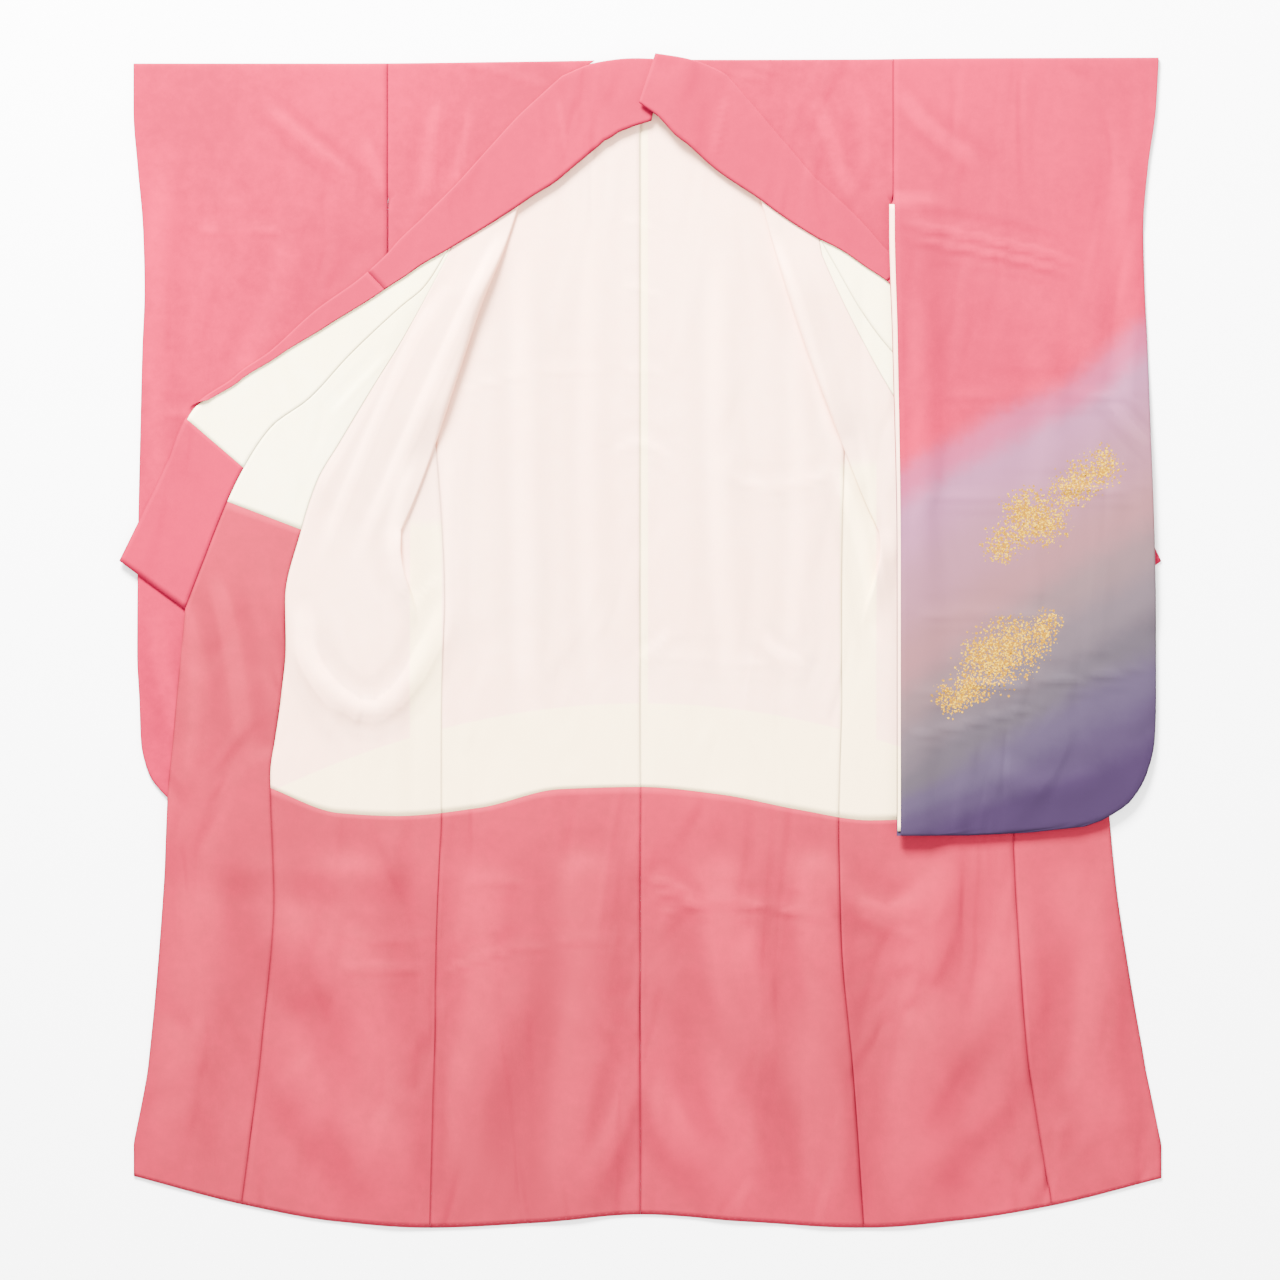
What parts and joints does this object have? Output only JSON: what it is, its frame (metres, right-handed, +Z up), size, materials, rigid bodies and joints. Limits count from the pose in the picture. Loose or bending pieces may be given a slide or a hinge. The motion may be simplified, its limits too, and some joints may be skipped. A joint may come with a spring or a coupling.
{
  "type": "furisode laid open",
  "caption": "Lined long-sleeved formal kimono laid open on its back, with turned collar, white and pink lining and shaded sleeves.",
  "frame": {"origin": "centre of the garment's outline on the surface that it lies on", "axes": "+Z up off the surface, +Y from hem to shoulders, +X towards the wearer's left sleeve"},
  "size_m": [1.4055, 1.5834, 0.0207],
  "materials": {
    "pink_crepe": "matt silk crepe",
    "shaded_crepe": "matt silk crepe shaded from pink to purple, with gold leaf",
    "collar_crepe": "matt silk crepe",
    "skirt_lining": "fine matt silk crepe",
    "white_lining": "smooth silk with a soft sheen",
    "cream_lining": "smooth silk with a soft sheen"
  },
  "bodies": {
    "root": {"back_right": "pink_crepe", "back_left": "pink_crepe", "front_right": "pink_crepe", "front_left": "pink_crepe", "okumi_right": "pink_crepe", "okumi_left": "pink_crepe", "sleeve_right": "pink_crepe", "sleeve_left": "shaded_crepe", "collar_right": "collar_crepe", "collar_left": "collar_crepe", "over_collar_right": "collar_crepe", "over_collar_left": "collar_crepe", "collar_facing_right": "collar_crepe", "collar_facing_left": "collar_crepe", "back_lining_right": "white_lining", "back_lining_left": "white_lining", "front_lining_right": "white_lining", "front_lining_left": "white_lining", "sleeve_lining_left": "white_lining", "okumi_lining_right": "cream_lining", "okumi_lining_left": "cream_lining", "collar_lining_right": "cream_lining", "collar_lining_left": "cream_lining", "back_skirt_right": "skirt_lining", "back_skirt_left": "skirt_lining", "front_skirt_right": "skirt_lining", "front_skirt_left": "skirt_lining", "okumi_skirt_right": "skirt_lining", "okumi_skirt_left": "skirt_lining"}
  },
  "joints": []
}
